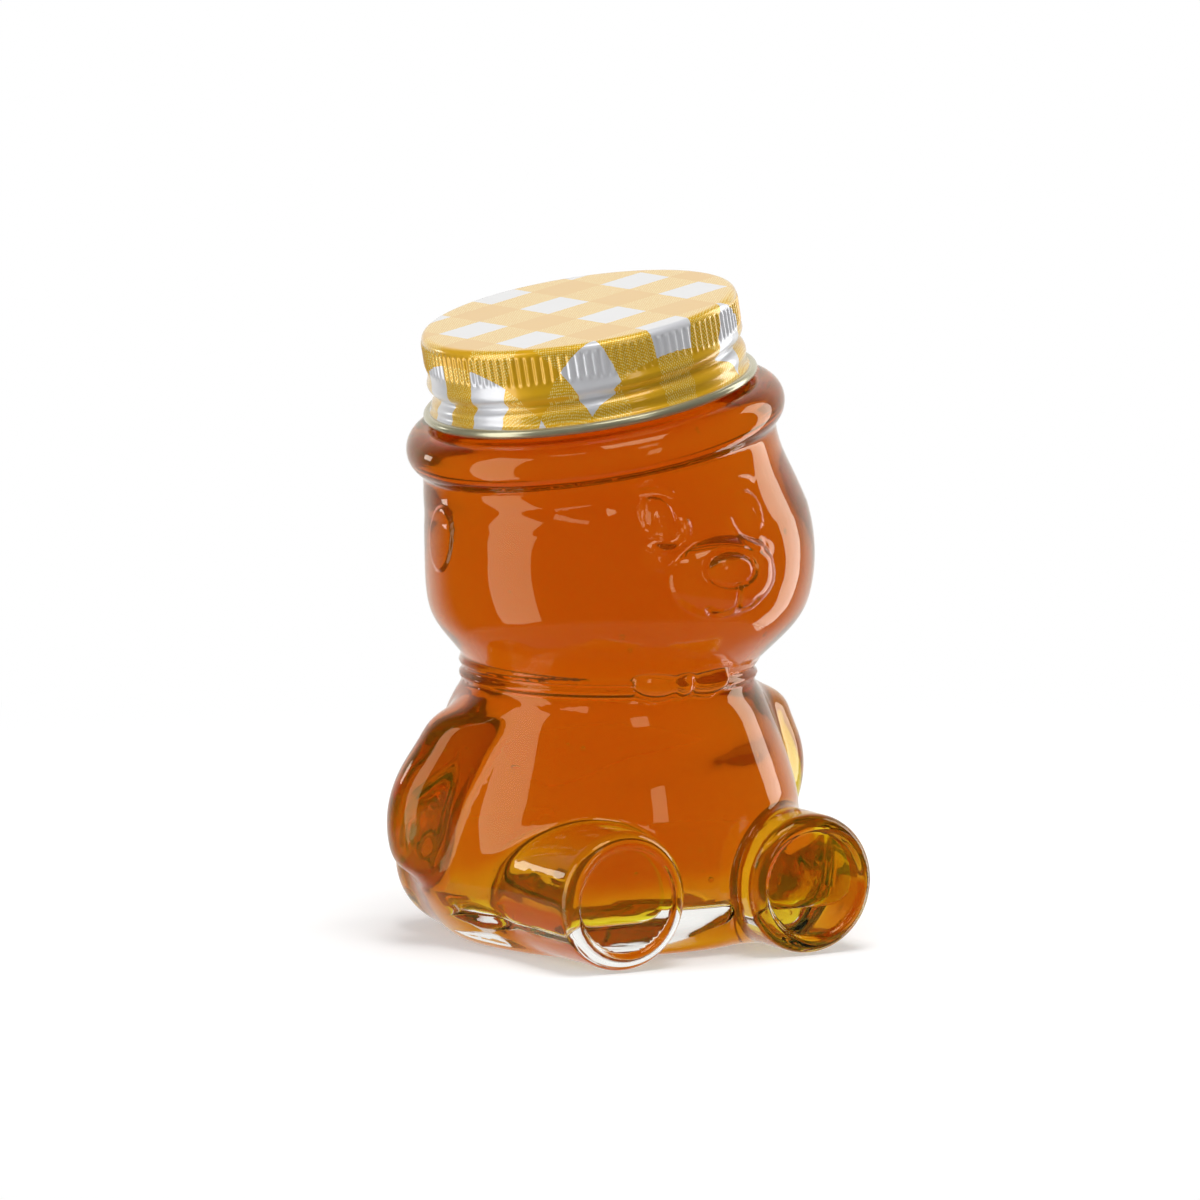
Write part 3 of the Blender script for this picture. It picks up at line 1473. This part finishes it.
@dataclass
class GlassAndHoney:
    """The glass jar, the honey in it and the small bubbles in the honey.

    Attributes:
        form: The bear's shape.
        cell: Size of the cells that the shapes are read in.
        space: Lowest and highest corner of the space that holds the glass.
        honey_space: The same for the honey.
        level: Height of the honey's surface.
        gap: Room between honey and glass.
        least_wall: The glass's least thickness under the neck.
        skin_rings: Rings of points in the honey's open surface.
        skin_points: Points in such a ring.
        skin_gap: Room between the honey and its open surface.
        skin_sides: Height of each side of that surface, and how far it climbs at the glass.
        climb_reach: How fast the climb falls off from the glass.
        bubbles: How many bubbles hang over a square metre of the honey's wall.
        bubble_r: Least and greatest radius of a bubble.
        bubble_depth: How deep the bubbles hang in the honey at most.
        bubble_seed: Seed of their places.
    """

    form: BearForm = field(default_factory=BearForm)
    cell: float = 1.24
    space: tuple[tuple[float, ...], tuple[float, ...]] = ((-49, -46, -2), (49, 46, 133))
    honey_space: tuple[tuple[float, ...], tuple[float, ...]] = ((-47, -44, 0), (47, 44, 118))
    level: float = 115.2
    gap: float = 0.12
    least_wall: float = 1.7
    skin_rings: int = 24
    skin_points: int = 96
    skin_gap: float = 0.02
    skin_sides: tuple[tuple[float, float], ...] = ((0.12, 0.5), (0.02, 0.0))
    climb_reach: float = 0.8
    bubbles: float = 2200.0
    bubble_r: tuple[float, float] = (0.12, 0.55)
    bubble_depth: float = 7.0
    bubble_seed: int = 7

    def glass_field(self, x: np.ndarray, y: np.ndarray, z: np.ndarray) -> np.ndarray:
        """The glass itself.

        Args:
            x: The frame's X.
            y: The frame's Y.
            z: The frame's Z.

        Returns:
            The field, negative inside.
        """
        outer = self.form.outside(x, y, z)
        space = smooth_max(self.form.inside(x, y, z), outer + self.least_wall, 0.8)
        space = np.where(self.form.hat.along(x, z) > 34, self.form.inside(x, y, z), space)
        return smooth_max(outer, -space, 0.5)

    def honey_field(self, x: np.ndarray, y: np.ndarray, z: np.ndarray) -> np.ndarray:
        """The honey up to its level.

        Args:
            x: The frame's X.
            y: The frame's Y.
            z: The frame's Z.

        Returns:
            The field, negative inside.
        """
        outer = self.form.outside(x, y, z)
        space = smooth_max(self.form.inside(x, y, z), outer + self.least_wall, 0.8) + self.gap
        return smooth_max(smooth_max(space, z - self.level, 0.5), self.form.base + 0.2 - z, 1.0)

    def bend(self, middles: np.ndarray) -> np.ndarray:
        """Degrees of turn that a face may have, fewer on the face of the bear and more elsewhere.

        Args:
            middles: Middles of the mesh's faces.

        Returns:
            The degrees for each face.
        """
        x, y, z = middles.T
        face = (y < -20) & (z > 67) & (z < 99) & (np.abs(x) < 21)
        return np.where(face, 4.0, 15.0)

    def outer_faces(self, middles: np.ndarray) -> np.ndarray:
        """True for points on the outside of the glass."""
        return np.abs(self.form.outside(*middles.T)) < np.abs(self.form.inside(*middles.T))

    def build_glass(self) -> None:
        """Makes the glass, with the inner wall that touches honey in a slot of its own."""
        low, high = self.space
        shell = Sculptor(self.glass_field, low, high, self.cell, self.bend, self.outer_faces).shell()
        mesh = shell.mesh("glass")
        middles = shell.middles()
        wet = ~self.outer_faces(middles) & (middles[:, 2] < self.level)
        sunk = wet & (middles[:, 2] < self.form.base + 2.5)
        mesh.materials.append(ClearGlass().build("clear_glass"))
        mesh.materials.append(WetWall().build("glass_against_honey"))
        mesh.materials.append(ClearGlass(index=1.02, wave=0.0).build("glass_under_honey"))
        mesh.polygons.foreach_set("material_index", wet.astype(np.int32) + sunk)
        piece = place_piece("glass", mesh, Body.JAR)
        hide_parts("glass_jar")

    def build_honey(self) -> bpy.types.Object:
        """Makes the honey.

        Returns:
            The honey's object.
        """
        low, high = self.honey_space
        mesh = Sculptor(self.honey_field, low, high, self.cell).shell().mesh("honey_body")
        mesh.materials.append(Honey().build("honey"))
        piece = place_piece("honey_body", mesh, Body.JAR)
        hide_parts("honey")
        return piece

    def build_skin(self) -> None:
        """Makes the honey's open surface, which bends light where the honey ends.

        It is a thin disc of two sides, an upper one that climbs a little at the glass and a level
        one that lies on the honey.
        """
        z = self.level + self.skin_gap
        rings, count = self.skin_rings, self.skin_points
        faces = []
        hat = self.form.hat
        middle_x, middle_y = -tan(radians(hat.tilt)) * (z - hat.pivot_z), hat.body_y
        turn = np.linspace(0, 2 * pi, count, endpoint=False)
        low, high = np.full(count, 10.0), np.full(count, 40.0)
        height = np.full(count, self.level - 0.9)
        for _ in range(20):
            r = (low + high) / 2
            inside = self.honey_field(middle_x + r * np.cos(turn), middle_y + r * np.sin(turn), height) < 0
            low, high = np.where(inside, r, low), np.where(inside, high, r)
        edge = low - 0.05
        verts = []
        for above, rise in self.skin_sides:
            verts.append((middle_x, middle_y, z + above))
            for ring in range(1, rings + 1):
                for a, end in zip(turn, edge):
                    r = end * (ring / rings) ** 0.7
                    climb = rise * np.exp((r - end) / self.climb_reach)
                    verts.append((middle_x + r * cos(a), middle_y + r * sin(a), z + above + climb))
        half = 1 + rings * count
        for base, flip in ((0, False), (half, True)):
            for i in range(count):
                j = (i + 1) % count
                cells = [(base, base + 1 + i, base + 1 + j)]
                for ring in range(rings - 1):
                    a, b = base + 1 + ring * count, base + 1 + (ring + 1) * count
                    cells.append((a + i, b + i, b + j, a + j))
                faces += [tuple(reversed(c)) for c in cells] if flip else cells
        last = (rings - 1) * count + 1
        for i in range(count):
            j = (i + 1) % count
            faces.append((last + i, half + last + i, half + last + j, last + j))
        mesh = plain_mesh("honey_skin", np.array(verts), faces)
        mesh.materials.append(HoneySkin().build("honey_skin"))
        mesh.materials.append(WetWall().build("skin_on_honey"))
        under = [int(min(p.vertices) >= half) for p in mesh.polygons]
        mesh.polygons.foreach_set("material_index", under)
        place_piece("honey_skin", mesh, Body.JAR)

    def build_bubbles(self, honey: bpy.types.Object) -> None:
        """Strews fine air bubbles just inside the honey's wall.

        Args:
            honey: The honey that they hang in.
        """
        tree = Growth("bubbles", {
            "To the square metre": ("NodeSocketFloat", self.bubbles),
            "Smallest": ("NodeSocketFloat", self.bubble_r[0] * MM),
            "Largest": ("NodeSocketFloat", self.bubble_r[1] * MM),
            "Deepest": ("NodeSocketFloat", self.bubble_depth * MM),
            "Seed": ("NodeSocketInt", self.bubble_seed),
        })
        spread = tree.node(
            "GeometryNodeDistributePointsOnFaces", Mesh=tree.start["Geometry"],
            Density=tree.start["To the square metre"], Seed=tree.start["Seed"],
        ).outputs
        size = tree.node(
            "FunctionNodeRandomValue", Min=tree.start["Smallest"], Max=tree.start["Largest"], Seed=3
        ).outputs[1]
        depth = tree.node("FunctionNodeRandomValue", Max=tree.start["Deepest"], Seed=4).outputs[1]
        inward = tree.node(
            "ShaderNodeVectorMath", operation="SCALE", Vector=spread["Normal"],
            Scale=tree.math("SUBTRACT", -1.0 * MM, depth),
        ).outputs[0]
        moved = tree.node("GeometryNodeSetPosition", Geometry=spread["Points"], Offset=inward).outputs[0]
        ball = tree.node("GeometryNodeMeshIcoSphere", Radius=1.0, Subdivisions=3).outputs[0]
        balls = tree.node("GeometryNodeInstanceOnPoints", Points=moved, Instance=ball, Scale=size).outputs[0]
        tree.finish(balls, ClearGlass(index=1.33, wave=0.0).build("air_bubble"))
        mesh = tree.bake("bubbles", honey.data.copy())
        mesh.shade_smooth()
        place_piece("bubbles", mesh, Body.JAR)

    def build(self) -> None:
        """Makes all of it."""
        self.build_glass()
        self.build_bubbles(self.build_honey())
        self.build_skin()


# The lid


class Zone(Enum):
    """Parts of the lid's section, by finish."""

    PRINT = 0
    BEAD = 1
    LINING = 2


@dataclass
class ScrewLid:
    """The drawn tinplate lid: flat top, knurled band, rolled screw groove and curled bead.

    Attributes:
        axis: The axis it sits on.
        height: From the top to the bead's underside.
        radius: Radius of the skirt.
        sheet: Thickness of the tinplate.
        corner: Radius of the top's corner.
        bead_r: Outer radius of the bead.
        bead_half: Radius of the bead's curl.
        bead_arc: Where the curl starts and ends, in degrees.
        top_rings: Radii of the rings of points on the top.
        under_rings: Radii of the rings of points under it.
        skirt: First depth, last depth and step of the rings of points on the skirt.
        lining: The same for its inside.
        knurls: How many knurls go round.
        knurl_depth: Depth of a knurl.
        knurl_band: Depths below the top where the knurls start and end.
        groove: Depth of the rolled screw groove.
        groove_path: Lead of the groove, its depth below the top at the start and its turns.
        bulge: How far the sheet swells above the groove.
        segments: Points in a ring.
    """

    axis: HatAxis = field(default_factory=HatAxis)
    height: float = 17.6
    radius: float = 31.8
    sheet: float = 0.3
    corner: float = 1.4
    bead_r: float = 33.7
    bead_half: float = 0.95
    bead_arc: tuple[float, float] = (-118.0, 205.0)
    top_rings: tuple[float, ...] = (0.0, 8.0, 16.0, 23.0, 28.0, 29.6)
    under_rings: tuple[float, ...] = (29.0, 20.0, 10.0, 0.0)
    skirt: tuple[float, float, float] = (1.75, 15.3, 0.4)
    lining: tuple[float, float, float] = (15.6, 1.5, -0.8)
    knurls: int = 116
    knurl_depth: float = 0.42
    knurl_band: tuple[float, float] = (0.9, 7.4)
    groove: float = 1.3
    groove_path: tuple[float, float, float] = (5.08, 13.6, 1.2)
    bulge: float = 0.25
    segments: int = 812

    def section(self) -> tuple[np.ndarray, list[Zone], np.ndarray]:
        """The lid's section, from the middle of its top round the bead to the middle inside.

        Returns:
            Radius and depth below the top of each point, the zone of each span, and 1 where a
            point is on the outer skirt.
        """
        rows: list[tuple[float, float, Zone, float]] = []
        for r in self.top_rings:
            rows.append((r, 0.0, Zone.PRINT, 0.0))
        edge_r = self.radius - self.corner
        for turn in np.linspace(0, 90, 8):
            a = radians(turn)
            rows.append((edge_r + self.corner * sin(a), self.corner * (1 - cos(a)), Zone.PRINT, 0.0))
        for depth in np.arange(*self.skirt):
            rows.append((self.radius, depth, Zone.PRINT, 1.0))
        middle = self.height - self.bead_half
        curl = self.bead_r - self.bead_half
        for turn in np.linspace(*self.bead_arc, 26):
            a = radians(turn)
            rows.append((curl + self.bead_half * cos(a), middle + self.bead_half * sin(a), Zone.BEAD, 0.0))
        inner = self.radius - self.sheet
        for depth in np.arange(*self.lining):
            rows.append((inner, depth, Zone.LINING, 1.0))
        bend = self.corner - self.sheet
        for turn in np.linspace(90, 0, 6):
            a = radians(turn)
            rows.append((edge_r + bend * sin(a), self.sheet + bend * (1 - cos(a)), Zone.LINING, 0.0))
        for r in self.under_rings:
            rows.append((r, self.sheet, Zone.LINING, 0.0))
        points = np.array([(r, d) for r, d, _, _ in rows])
        return points, [z for _, _, z, _ in rows], np.array([w for _, _, _, w in rows])

    def base_mesh(self) -> bpy.types.Mesh:
        """The lid turned round its axis, without knurls or groove.

        Returns:
            A mesh in the lid's own directions, with depth, skirt and outside attributes.
        """
        points, zones, skirt = self.section()
        count = self.segments
        turn = np.linspace(0, 2 * pi, count, endpoint=False)
        ring_rows = range(1, len(points) - 1)
        verts = [(0.0, 0.0, -points[0][1])]
        depth, wave, outer = [points[0][1]], [0.0], [0.0]
        for row in ring_rows:
            r, d = points[row]
            verts += [(r * cos(a), r * sin(a), -d) for a in turn]
            depth += [d] * count
            wave += [skirt[row]] * count
            outer += [1.0 if zones[row] is Zone.PRINT else 0.0] * count
        verts.append((0.0, 0.0, -points[-1][1]))
        depth.append(points[-1][1])
        wave.append(0.0)
        outer.append(0.0)
        faces, zone = [], []
        last = len(verts) - 1
        for i in range(count):
            j = (i + 1) % count
            faces.append((0, 1 + i, 1 + j))
            zone.append(Zone.PRINT.value)
            for row in range(len(points) - 3):
                a, b = 1 + row * count, 1 + (row + 1) * count
                faces.append((a + i, b + i, b + j, a + j))
                zone.append(zones[row + 1].value)
            a = 1 + (len(points) - 3) * count
            faces.append((a + i, last, a + j))
            zone.append(Zone.LINING.value)
        mesh = plain_mesh("lid_blank", np.array(verts), faces)
        mesh.attributes.new("zone", "INT", "FACE").data.foreach_set("value", zone)
        for title, values in (("depth", depth), ("skirt", wave), ("outside", outer)):
            mesh.attributes.new(title, "FLOAT", "POINT").data.foreach_set("value", values)
        return mesh

    def press(self) -> Growth:
        """The tree that presses knurls and rolls the screw groove.

        Returns:
            The tree.
        """
        sizes = {
            "Knurls": float(self.knurls), "Knurl depth": self.knurl_depth * MM,
            "Knurl top": self.knurl_band[0], "Knurl bottom": self.knurl_band[1],
            "Groove": self.groove * MM, "Groove lead": self.groove_path[0],
            "Groove depth": self.groove_path[1], "Groove turns": self.groove_path[2],
            "Bulge": self.bulge * MM,
        }
        tree = Growth("lid_press", {title: ("NodeSocketFloat", value) for title, value in sizes.items()})
        given = {socket.name: socket for socket in tree.start if socket.name}
        place = tree.node("GeometryNodeInputPosition").outputs[0]
        xyz = tree.node("ShaderNodeSeparateXYZ", Vector=place).outputs
        angle = tree.math("ARCTAN2", xyz[1], xyz[0])
        depth, skirt, outside = (
            tree.node("GeometryNodeInputNamedAttribute", data_type="FLOAT", Name=title).outputs[0]
            for title in ("depth", "skirt", "outside")
        )

        def window(value: object, low: object, high: object, soft: float) -> bpy.types.NodeSocket:
            """1 between low and high, with soft ends.

            Args:
                value: What is compared.
                low: Where the window starts.
                high: Where it ends.
                soft: Width of its soft ends.

            Returns:
                The window's socket.
            """
            rise = tree.math("DIVIDE", tree.math("SUBTRACT", value, low), soft)
            fall = tree.math("DIVIDE", tree.math("SUBTRACT", high, value), soft)
            both = tree.math("MINIMUM", rise, fall)
            return tree.node("ShaderNodeMapRange", interpolation_type="SMOOTHSTEP", Value=both).outputs[0]

        def bell(middle: object, half: float, steep: float) -> bpy.types.NodeSocket:
            """1 at a depth, falling off over half its width to both sides."""
            off = tree.math("DIVIDE", tree.math("SUBTRACT", depth, middle), half)
            return tree.math("EXPONENT", tree.times(off, off, -steep))

        ridges = tree.math("COSINE", tree.times(angle, given["Knurls"]))
        ridges = tree.times(tree.math("ADD", ridges, 1.0), 0.5)
        sharp = tree.math("SUBTRACT", tree.math("POWER", tree.math("ABSOLUTE", ridges), 0.7), 0.55)
        band = window(depth, given["Knurl top"], given["Knurl bottom"], 1.1)
        move = tree.times(sharp, given["Knurl depth"], tree.times(band, outside))
        for lap in range(-1, 3):
            turn = tree.math("DIVIDE", tree.math("SUBTRACT", angle, radians(90)), 2 * pi)
            turns = tree.math("ADD", turn, float(lap))
            middle = tree.math("SUBTRACT", given["Groove depth"], tree.times(turns, given["Groove lead"]))
            ends = window(turns, 0.0, given["Groove turns"], 0.06)
            dent = tree.times(bell(middle, 1.15, 1.6), ends, given["Groove"])
            above = bell(tree.math("SUBTRACT", middle, 2.5), 0.9, 1.0)
            swell = tree.times(above, window(depth, 7.0, 14.4, 1.2), given["Bulge"])
            move = tree.math("ADD", tree.math("SUBTRACT", move, dent), swell)
        move = tree.times(move, skirt)
        x, y = (tree.times(tree.math(way, angle), move) for way in ("COSINE", "SINE"))
        offset = tree.node("ShaderNodeCombineXYZ", X=x, Y=y).outputs[0]
        tree.finish(
            tree.node("GeometryNodeSetPosition", Geometry=tree.start[0], Offset=offset).outputs[0],
            GinghamPrint().build("gingham_print"),
            Enamel(metal=0.6).build("bead_enamel"),
            Enamel(colour=(222, 214, 186), worn=(205, 196, 166), roughness=0.3).build("lid_lining"),
        )
        return tree

    def printed(self, own: np.ndarray) -> np.ndarray:
        """Where each point lay on the flat sheet, which stretched as it was drawn over the corner.

        Args:
            own: Points in the lid's own directions, in millimetres.

        Returns:
            Places on the sheet, in metres.
        """
        across = np.hypot(own[:, 0], own[:, 1])
        drawn = self.radius**2 + 2 * self.radius * np.maximum(-own[:, 2] - self.corner * 0.4, 0)
        skirt = np.minimum(across, self.radius) - self.radius + np.sqrt(drawn)
        spread = np.where(across < self.radius - self.corner, across, skirt)
        turned = np.arctan2(own[:, 1], own[:, 0])
        return np.stack([spread * np.cos(turned), spread * np.sin(turned)], 1) * MM

    def build(self) -> None:
        """Makes the lid."""
        mesh = self.press().bake("screw_lid", self.base_mesh())
        flat = np.empty(len(mesh.vertices) * 3)
        mesh.vertices.foreach_get("co", flat)
        own = flat.reshape(-1, 3) / MM
        mesh.uv_layers.new(name="print")
        corner = np.empty(len(mesh.loops), np.int32)
        mesh.loops.foreach_get("vertex_index", corner)
        mesh.uv_layers["print"].data.foreach_set("uv", self.printed(own)[corner].ravel())
        placed = self.axis.point(own[:, 0], own[:, 1], self.axis.lid_top + own[:, 2]) * MM
        mesh.vertices.foreach_set("co", placed.ravel())
        mesh.update()
        piece = place_piece("screw_lid", mesh, Body.LID)
        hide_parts("lid_shell")


@dataclass
class SealingRing:
    """The ring of sealing compound under the lid's top, with the rim's shallow print in it."""

    axis: HatAxis = field(default_factory=HatAxis)
    outer: float = 30.1
    width: float = 5.0
    low: float = 39.1
    high: float = 40.0
    segments: int = 192

    def build(self) -> None:
        """Makes the ring."""
        inner, outer, low, edge = self.outer - self.width, self.outer, self.low, 0.25
        section = np.array([
            (inner, self.high), (inner, low + edge), (inner + edge, low + 0.03), (inner + 1.2, low + 0.02),
            (inner + 2.9, low + 0.1), (outer - 1.0, low + 0.02), (outer - edge, low + 0.02),
            (outer, low + edge), (outer, self.high),
        ])
        r, up = section.T
        verts, faces = [], []
        for a in np.linspace(0, 2 * pi, self.segments, endpoint=False):
            verts += list(self.axis.point(r * cos(a), r * sin(a), up))
        n = len(section)
        for i in range(self.segments):
            j = (i + 1) % self.segments
            for k in range(n):
                m = (k + 1) % n
                faces.append((i * n + k, i * n + m, j * n + m, j * n + k))
        mesh = plain_mesh("seal_ring", np.array(verts), faces)
        work = bmesh.new()
        work.from_mesh(mesh)
        bmesh.ops.recalc_face_normals(work, faces=work.faces)
        work.to_mesh(mesh)
        work.free()
        mesh.materials.append(Plastisol().build("plastisol"))
        piece = place_piece("seal_ring", mesh, Body.SEAL)
        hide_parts("sealing_ring")


# The studio


@dataclass(frozen=True)
class SoftBox:
    """A lamp with a flat front, placed by its direction from the bottle.

    Attributes:
        name: The lamp's name.
        azimuth: Its direction, in degrees from the front towards +X.
        height: Height of its middle.
        distance: Distance from the bottle's axis.
        width: Width of its front.
        tall: Height of its front.
        radiance: How bright its front is.
        aim: Height of the point that it faces.
        glossy: Whether it shows in reflections.
    """

    name: str
    azimuth: float
    height: float
    distance: float
    width: float
    tall: float
    radiance: float
    aim: float = 60.0
    glossy: bool = True

    def build(self) -> None:
        """Hangs the lamp."""
        a = radians(self.azimuth)
        data = bpy.data.lights.new(self.name, "AREA")
        data.shape = "RECTANGLE"
        data.size, data.size_y = self.width * MM, self.tall * MM
        data.energy = self.radiance * pi * data.size * data.size_y
        lamp = bpy.data.objects.new(self.name, data)
        lamp.location = Vector((self.distance * sin(a), -self.distance * cos(a), self.height)) * MM
        toward = Vector((0, 0, self.aim * MM)) - lamp.location
        lamp.rotation_euler = toward.to_track_quat("-Z", "Y").to_euler()
        lamp.visible_camera = False
        lamp.visible_transmission = False
        lamp.visible_glossy = self.glossy
        bpy.context.scene.collection.objects.link(lamp)


@dataclass
class Studio:
    """Camera, lamps, white backdrop and pale floor.

    Each row of rooms is a kind of ray, the backdrop's strength in front of the bottle and behind
    it, and where the change between the two starts and ends. The two numbers of table_edge and of
    fade are distances from the bottle, where the table ends for reflections and for the camera.
    """

    azimuth: float = -30.0
    elevation: float = 8.5
    distance: float = 4000.0
    lens: float = 600.0
    sensor: float = 36.0
    clip: tuple[float, float] = (0.05, 20.0)
    target: tuple[float, float, float] = (-1.4, 5.8, 67.3)
    table_edge: tuple[float, float] = (95.0, 110.0)
    fade: tuple[float, float] = (130.0, 330.0)
    table_half: float = 4000.0
    glow: float = 0.32
    table_glow: tuple[float, float, float, float] = (0.98, 1.0, 1.0, 1.0)
    table_white: tuple[float, float, float, float] = (0.8, 0.8, 0.8, 1.0)
    warm: tuple[float, float, float, float] = (1.0, 0.98, 0.93, 1.0)
    rooms: tuple[tuple[str, float, float, float, float], ...] = (
        ("Is Camera Ray", 1.0, 1.0, 0.0, 0.7),
        ("Is Glossy Ray", 0.02, 0.9, 0.45, 0.92),
        ("Is Transmission Ray", 0.8, 1.0, 0.0, 0.7),
        ("Is Diffuse Ray", 0.27, 0.27, 0.0, 0.7),
    )
    boxes: tuple[SoftBox, ...] = (
        SoftBox("left_strip", -97.0, 100.0, 600.0, 320.0, 1100.0, 2.6, 100.0),
        SoftBox("right_strip", 91.0, 100.0, 600.0, 190.0, 1100.0, 3.4, 100.0),
        SoftBox("high_box", -64.0, 560.0, 400.0, 210.0, 40.0, 2.2),
        SoftBox("brow_card", -4.0, 470.0, 500.0, 120.0, 110.0, 2.4, 90.0),
        SoftBox("top_card", -14.0, 720.0, 270.0, 320.0, 220.0, 4.0),
        SoftBox("low_card", 2.0, 190.0, 600.0, 95.0, 200.0, 2.4),
        SoftBox("back_card", -152.0, 170.0, 650.0, 95.0, 120.0, 4.5),
        SoftBox("overhead", 10.0, 800.0, 60.0, 440.0, 440.0, 5.2, 0.0, False),
    )

    def camera(self) -> None:
        """Sets up the camera at the photograph's angle."""
        data = bpy.data.cameras.new("camera")
        data.lens = self.lens
        data.sensor_width = self.sensor
        data.clip_start, data.clip_end = self.clip
        eye = bpy.data.objects.new("camera", data)
        a, e = radians(self.azimuth), radians(self.elevation)
        aim = Vector(self.target) * MM
        away = Vector((sin(a) * cos(e), -cos(a) * cos(e), sin(e)))
        eye.location = aim + away * self.distance * MM
        eye.rotation_euler = (-away).to_track_quat("-Z", "Y").to_euler()
        bpy.context.scene.collection.objects.link(eye)
        bpy.context.scene.camera = eye

    def sky(self) -> None:
        """White wherever the camera looks, white behind the bottle, and a darker room in front."""
        world = bpy.data.worlds.new("studio")
        bpy.context.scene.world = world
        world.use_nodes = True
        world.node_tree.nodes.clear()
        graph = Graph(world.node_tree)
        rays = graph.node("ShaderNodeLightPath").outputs
        a = radians(self.azimuth)
        look = graph.node("ShaderNodeTexCoord").outputs["Generated"]
        ahead = graph.node("ShaderNodeVectorMath", operation="DOT_PRODUCT")
        for value, socket in zip((look, (-sin(a), cos(a), 0.0)), ahead.inputs):
            graph.feed(value, socket)
        total = 0.0
        for kind, front, back, start, end in self.rooms:
            spread = graph.node(
                "ShaderNodeMapRange", interpolation_type="SMOOTHSTEP", Value=ahead.outputs["Value"],
                From_Min=start, From_Max=end, To_Min=front, To_Max=back,
            )
            total = graph.math("MAXIMUM", total, graph.times(spread.outputs[0], rays[kind]))
        tone = graph.blend(rays["Is Glossy Ray"], (1.0, 1.0, 1.0, 1.0), self.warm)
        light = graph.node("ShaderNodeBackground", Color=tone, Strength=total)
        graph.node("ShaderNodeOutputWorld", Surface=light.outputs[0])

    def floor(self) -> None:
        """A wide white table that keeps the bottle's soft shadow."""
        size = self.table_half
        corners = np.array([(-size, -size, 0), (size, -size, 0), (size, size, 0), (-size, size, 0)], float)
        mesh = plain_mesh("floor", corners, [(0, 1, 2, 3)])
        shade = Shading("table_white")
        away = shade.node("ShaderNodeVectorMath", operation="LENGTH")
        shade.feed(shade.node("ShaderNodeTexCoord").outputs["Object"], away.inputs[0])
        rays = shade.node("ShaderNodeLightPath").outputs
        seen = shade.math("MAXIMUM", rays["Is Camera Ray"], rays["Is Transmission Ray"])
        light = shade.node("ShaderNodeEmission", Color=self.table_glow, Strength=shade.times(seen, self.glow))
        white = shade.node("ShaderNodeBsdfDiffuse", Color=self.table_white)
        table = shade.node("ShaderNodeAddShader")
        for part, socket in zip((white, light), table.inputs):
            shade.feed(part.outputs[0], socket)
        shining = shade.node("ShaderNodeEmission", Strength=1.0)
        clear = shade.node("ShaderNodeBsdfTransparent")
        for (near, far), least, kind, beyond in (
            (self.fade, 0.0, seen, shining), (self.table_edge, 0.7, rays["Is Glossy Ray"], clear),
        ):
            spread = shade.node(
                "ShaderNodeMapRange", interpolation_type="SMOOTHSTEP", Value=away.outputs["Value"],
                From_Min=near * MM, From_Max=far * MM, To_Min=least,
            )
            both = shade.node("ShaderNodeMixShader", Fac=shade.times(spread.outputs[0], kind))
            for part, socket in ((table, both.inputs[1]), (beyond, both.inputs[2])):
                shade.feed(part.outputs[0], socket)
            table = both
        shade.replace_surface(table)
        mesh.materials.append(shade.material)
        ground = bpy.data.objects.new("floor", mesh)
        bpy.context.scene.collection.objects.link(ground)

    def build(self) -> None:
        """Sets up the whole studio."""
        bpy.context.scene.view_settings.view_transform = "Standard"
        self.camera()
        self.sky()
        self.floor()
        for box in self.boxes:
            box.build()


def main() -> None:
    """Builds the bottle and the studio."""
    for maker in (Studio(), GlassAndHoney(), ScrewLid(), SealingRing()):
        maker.build()
        log.info("%s done", type(maker).__name__)


if __name__ == "__main__":
    main()
